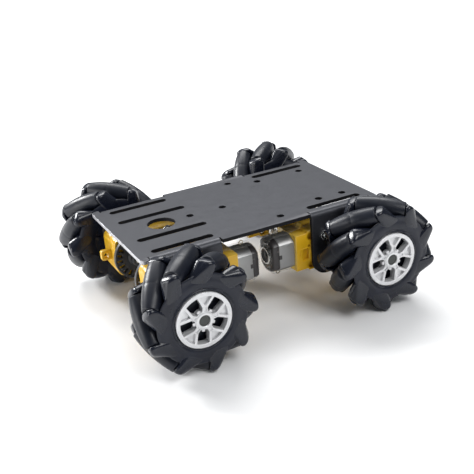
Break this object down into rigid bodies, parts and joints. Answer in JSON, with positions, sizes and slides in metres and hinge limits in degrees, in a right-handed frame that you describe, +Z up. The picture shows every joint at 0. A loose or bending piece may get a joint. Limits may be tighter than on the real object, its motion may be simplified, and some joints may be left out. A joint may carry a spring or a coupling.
{
  "type": "four wheel robot chassis",
  "caption": "Wheeled robot chassis: folded aluminium deck with slots and holes, gear motors on its ears, and omnidirectional wheels with angled free rollers.",
  "frame": {"origin": "on the floor under the middle of the deck, wheels resting on the floor", "axes": "+X along the deck from the cable hole end (front, -X) to the other end (rear), +Y across the deck, +Z up"},
  "size_m": [0.1672, 0.145, 0.0598],
  "materials": {
    "anodised_aluminium": "satin black anodised sheet with bright cut edges",
    "yellow_plastic": "moulded yellow plastic, soft gloss",
    "motor_steel": "plated steel can with a dark end cap",
    "black_plastic": "matte black moulded plastic",
    "gloss_black_plastic": "glossy black moulded plastic",
    "silver_plastic": "silver coated plastic",
    "black_rubber": "smooth black rubber with a soft sheen"
  },
  "bodies": {
    "chassis": {"deck": "anodised_aluminium", "gearbox_front_left": "yellow_plastic", "motor_front_left": "motor_steel", "gearbox_front_right": "yellow_plastic", "motor_front_right": "motor_steel", "gearbox_rear_left": "yellow_plastic", "motor_rear_left": "motor_steel", "gearbox_rear_right": "yellow_plastic", "motor_rear_right": "motor_steel"},
    "front_left_wheel": {"wheel_hub_front_left": "gloss_black_plastic", "wheel_cap_front_left": "silver_plastic", "encoder_disc_front_left": "black_plastic"},
    "front_left_roller_1": {"roller_front_left_1": "black_rubber"},
    "front_left_roller_2": {"roller_front_left_2": "black_rubber"},
    "front_left_roller_3": {"roller_front_left_3": "black_rubber"},
    "front_left_roller_4": {"roller_front_left_4": "black_rubber"},
    "front_left_roller_5": {"roller_front_left_5": "black_rubber"},
    "front_left_roller_6": {"roller_front_left_6": "black_rubber"},
    "front_left_roller_7": {"roller_front_left_7": "black_rubber"},
    "front_left_roller_8": {"roller_front_left_8": "black_rubber"},
    "front_left_roller_9": {"roller_front_left_9": "black_rubber"},
    "front_right_wheel": {"wheel_hub_front_right": "gloss_black_plastic", "wheel_cap_front_right": "silver_plastic", "encoder_disc_front_right": "black_plastic"},
    "front_right_roller_1": {"roller_front_right_1": "black_rubber"},
    "front_right_roller_2": {"roller_front_right_2": "black_rubber"},
    "front_right_roller_3": {"roller_front_right_3": "black_rubber"},
    "front_right_roller_4": {"roller_front_right_4": "black_rubber"},
    "front_right_roller_5": {"roller_front_right_5": "black_rubber"},
    "front_right_roller_6": {"roller_front_right_6": "black_rubber"},
    "front_right_roller_7": {"roller_front_right_7": "black_rubber"},
    "front_right_roller_8": {"roller_front_right_8": "black_rubber"},
    "front_right_roller_9": {"roller_front_right_9": "black_rubber"},
    "rear_left_wheel": {"wheel_hub_rear_left": "gloss_black_plastic", "wheel_cap_rear_left": "silver_plastic", "encoder_disc_rear_left": "black_plastic"},
    "rear_left_roller_1": {"roller_rear_left_1": "black_rubber"},
    "rear_left_roller_2": {"roller_rear_left_2": "black_rubber"},
    "rear_left_roller_3": {"roller_rear_left_3": "black_rubber"},
    "rear_left_roller_4": {"roller_rear_left_4": "black_rubber"},
    "rear_left_roller_5": {"roller_rear_left_5": "black_rubber"},
    "rear_left_roller_6": {"roller_rear_left_6": "black_rubber"},
    "rear_left_roller_7": {"roller_rear_left_7": "black_rubber"},
    "rear_left_roller_8": {"roller_rear_left_8": "black_rubber"},
    "rear_left_roller_9": {"roller_rear_left_9": "black_rubber"},
    "rear_right_wheel": {"wheel_hub_rear_right": "gloss_black_plastic", "wheel_cap_rear_right": "silver_plastic", "encoder_disc_rear_right": "black_plastic"},
    "rear_right_roller_1": {"roller_rear_right_1": "black_rubber"},
    "rear_right_roller_2": {"roller_rear_right_2": "black_rubber"},
    "rear_right_roller_3": {"roller_rear_right_3": "black_rubber"},
    "rear_right_roller_4": {"roller_rear_right_4": "black_rubber"},
    "rear_right_roller_5": {"roller_rear_right_5": "black_rubber"},
    "rear_right_roller_6": {"roller_rear_right_6": "black_rubber"},
    "rear_right_roller_7": {"roller_rear_right_7": "black_rubber"},
    "rear_right_roller_8": {"roller_rear_right_8": "black_rubber"},
    "rear_right_roller_9": {"roller_rear_right_9": "black_rubber"}
  },
  "joints": [
    {"name": "front_left_wheel_spin", "type": "hinge", "parent": "chassis", "child": "front_left_wheel", "pos_m": [-0.0536, -0.0585, 0.02989], "axis": [0, 1, 0], "continuous": true},
    {"name": "front_left_roller_1_spin", "type": "hinge", "parent": "front_left_wheel", "child": "front_left_roller_1", "pos_m": [-0.0713, -0.0585, 0.04639], "axis": [-0.4822, -0.7071, -0.5171], "continuous": true},
    {"name": "front_left_roller_2_spin", "type": "hinge", "parent": "front_left_wheel", "child": "front_left_roller_2", "pos_m": [-0.05655, -0.0585, 0.0539], "axis": [-0.7018, -0.7071, -0.0862], "continuous": true},
    {"name": "front_left_roller_3_spin", "type": "hinge", "parent": "front_left_wheel", "child": "front_left_roller_3", "pos_m": [-0.04042, -0.0585, 0.05018], "axis": [-0.593, -0.7071, 0.3851], "continuous": true},
    {"name": "front_left_roller_4_spin", "type": "hinge", "parent": "front_left_wheel", "child": "front_left_roller_4", "pos_m": [-0.03046, -0.0585, 0.03696], "axis": [-0.2067, -0.7071, 0.6762], "continuous": true},
    {"name": "front_left_roller_5_spin", "type": "hinge", "parent": "front_left_wheel", "child": "front_left_roller_5", "pos_m": [-0.03132, -0.0585, 0.02043], "axis": [0.2763, -0.7071, 0.6509], "continuous": true},
    {"name": "front_left_roller_6_spin", "type": "hinge", "parent": "front_left_wheel", "child": "front_left_roller_6", "pos_m": [-0.04261, -0.0585, 0.00832], "axis": [0.63, -0.7071, 0.321], "continuous": true},
    {"name": "front_left_roller_7_spin", "type": "hinge", "parent": "front_left_wheel", "child": "front_left_roller_7", "pos_m": [-0.05904, -0.0585, 0.00631], "axis": [0.689, -0.7071, -0.1591], "continuous": true},
    {"name": "front_left_roller_8_spin", "type": "hinge", "parent": "front_left_wheel", "child": "front_left_roller_8", "pos_m": [-0.07293, -0.0585, 0.01532], "axis": [0.4255, -0.7071, -0.5647], "continuous": true},
    {"name": "front_left_roller_9_spin", "type": "hinge", "parent": "front_left_wheel", "child": "front_left_roller_9", "pos_m": [-0.07777, -0.0585, 0.03115], "axis": [-0.037, -0.7071, -0.7061], "continuous": true},
    {"name": "front_right_wheel_spin", "type": "hinge", "parent": "chassis", "child": "front_right_wheel", "pos_m": [-0.0536, 0.0585, 0.02989], "axis": [0, 1, 0], "continuous": true},
    {"name": "front_right_roller_1_spin", "type": "hinge", "parent": "front_right_wheel", "child": "front_right_roller_1", "pos_m": [-0.06713, 0.0585, 0.04995], "axis": [-0.5862, 0.7071, -0.3954], "continuous": true},
    {"name": "front_right_roller_2_spin", "type": "hinge", "parent": "front_right_wheel", "child": "front_right_roller_2", "pos_m": [-0.05107, 0.0585, 0.05395], "axis": [-0.7032, 0.7071, 0.0739], "continuous": true},
    {"name": "front_right_roller_3_spin", "type": "hinge", "parent": "front_right_wheel", "child": "front_right_roller_3", "pos_m": [-0.03619, 0.0585, 0.0467], "axis": [-0.4912, 0.7071, 0.5087], "continuous": true},
    {"name": "front_right_roller_4_spin", "type": "hinge", "parent": "front_right_wheel", "child": "front_right_roller_4", "pos_m": [-0.02946, 0.0585, 0.03157], "axis": [-0.0493, 0.7071, 0.7054], "continuous": true},
    {"name": "front_right_roller_5_spin", "type": "hinge", "parent": "front_right_wheel", "child": "front_right_roller_5", "pos_m": [-0.03402, 0.0585, 0.01566], "axis": [0.4156, 0.7071, 0.5721], "continuous": true},
    {"name": "front_right_roller_6_spin", "type": "hinge", "parent": "front_right_wheel", "child": "front_right_roller_6", "pos_m": [-0.04775, 0.0585, 0.0064], "axis": [0.6861, 0.7071, 0.1711], "continuous": true},
    {"name": "front_right_roller_7_spin", "type": "hinge", "parent": "front_right_wheel", "child": "front_right_roller_7", "pos_m": [-0.06421, 0.0585, 0.00813], "axis": [0.6355, 0.7071, -0.31], "continuous": true},
    {"name": "front_right_roller_8_spin", "type": "hinge", "parent": "front_right_wheel", "child": "front_right_roller_8", "pos_m": [-0.07571, 0.0585, 0.02004], "axis": [0.2876, 0.7071, -0.646], "continuous": true},
    {"name": "front_right_roller_9_spin", "type": "hinge", "parent": "front_right_wheel", "child": "front_right_roller_9", "pos_m": [-0.07686, 0.0585, 0.03656], "axis": [-0.1949, 0.7071, -0.6797], "continuous": true},
    {"name": "rear_left_wheel_spin", "type": "hinge", "parent": "chassis", "child": "rear_left_wheel", "pos_m": [0.0536, -0.0585, 0.02989], "axis": [0, 1, 0], "continuous": true},
    {"name": "rear_left_roller_1_spin", "type": "hinge", "parent": "rear_left_wheel", "child": "rear_left_roller_1", "pos_m": [0.0713, -0.0585, 0.04639], "axis": [0.4822, -0.7071, -0.5171], "continuous": true},
    {"name": "rear_left_roller_2_spin", "type": "hinge", "parent": "rear_left_wheel", "child": "rear_left_roller_2", "pos_m": [0.05655, -0.0585, 0.0539], "axis": [0.7018, -0.7071, -0.0862], "continuous": true},
    {"name": "rear_left_roller_3_spin", "type": "hinge", "parent": "rear_left_wheel", "child": "rear_left_roller_3", "pos_m": [0.04042, -0.0585, 0.05018], "axis": [0.593, -0.7071, 0.3851], "continuous": true},
    {"name": "rear_left_roller_4_spin", "type": "hinge", "parent": "rear_left_wheel", "child": "rear_left_roller_4", "pos_m": [0.03046, -0.0585, 0.03696], "axis": [0.2067, -0.7071, 0.6762], "continuous": true},
    {"name": "rear_left_roller_5_spin", "type": "hinge", "parent": "rear_left_wheel", "child": "rear_left_roller_5", "pos_m": [0.03132, -0.0585, 0.02043], "axis": [-0.2763, -0.7071, 0.6509], "continuous": true},
    {"name": "rear_left_roller_6_spin", "type": "hinge", "parent": "rear_left_wheel", "child": "rear_left_roller_6", "pos_m": [0.04261, -0.0585, 0.00832], "axis": [-0.63, -0.7071, 0.321], "continuous": true},
    {"name": "rear_left_roller_7_spin", "type": "hinge", "parent": "rear_left_wheel", "child": "rear_left_roller_7", "pos_m": [0.05904, -0.0585, 0.00631], "axis": [-0.689, -0.7071, -0.1591], "continuous": true},
    {"name": "rear_left_roller_8_spin", "type": "hinge", "parent": "rear_left_wheel", "child": "rear_left_roller_8", "pos_m": [0.07293, -0.0585, 0.01532], "axis": [-0.4255, -0.7071, -0.5647], "continuous": true},
    {"name": "rear_left_roller_9_spin", "type": "hinge", "parent": "rear_left_wheel", "child": "rear_left_roller_9", "pos_m": [0.07777, -0.0585, 0.03115], "axis": [0.037, -0.7071, -0.7061], "continuous": true},
    {"name": "rear_right_wheel_spin", "type": "hinge", "parent": "chassis", "child": "rear_right_wheel", "pos_m": [0.0536, 0.0585, 0.02989], "axis": [0, 1, 0], "continuous": true},
    {"name": "rear_right_roller_1_spin", "type": "hinge", "parent": "rear_right_wheel", "child": "rear_right_roller_1", "pos_m": [0.07698, 0.0585, 0.03615], "axis": [0.183, 0.7071, -0.683], "continuous": true},
    {"name": "rear_right_roller_2_spin", "type": "hinge", "parent": "rear_right_wheel", "child": "rear_right_roller_2", "pos_m": [0.06748, 0.0585, 0.04971], "axis": [0.5792, 0.7071, -0.4056], "continuous": true},
    {"name": "rear_right_roller_3_spin", "type": "hinge", "parent": "rear_right_wheel", "child": "rear_right_roller_3", "pos_m": [0.05149, 0.0585, 0.05399], "axis": [0.7044, 0.7071, 0.0616], "continuous": true},
    {"name": "rear_right_roller_4_spin", "type": "hinge", "parent": "rear_right_wheel", "child": "rear_right_roller_4", "pos_m": [0.03649, 0.0585, 0.047], "axis": [0.5, 0.7071, 0.5], "continuous": true},
    {"name": "rear_right_roller_5_spin", "type": "hinge", "parent": "rear_right_wheel", "child": "rear_right_roller_5", "pos_m": [0.02949, 0.0585, 0.03199], "axis": [0.0616, 0.7071, 0.7044], "continuous": true},
    {"name": "rear_right_roller_6_spin", "type": "hinge", "parent": "rear_right_wheel", "child": "rear_right_roller_6", "pos_m": [0.03378, 0.0585, 0.016], "axis": [-0.4056, 0.7071, 0.5792], "continuous": true},
    {"name": "rear_right_roller_7_spin", "type": "hinge", "parent": "rear_right_wheel", "child": "rear_right_roller_7", "pos_m": [0.04734, 0.0585, 0.00651], "axis": [-0.683, 0.7071, 0.183], "continuous": true},
    {"name": "rear_right_roller_8_spin", "type": "hinge", "parent": "rear_right_wheel", "child": "rear_right_roller_8", "pos_m": [0.06383, 0.0585, 0.00795], "axis": [-0.6409, 0.7071, -0.2988], "continuous": true},
    {"name": "rear_right_roller_9_spin", "type": "hinge", "parent": "rear_right_wheel", "child": "rear_right_roller_9", "pos_m": [0.07553, 0.0585, 0.01966], "axis": [-0.2988, 0.7071, -0.6409], "continuous": true}
  ]
}
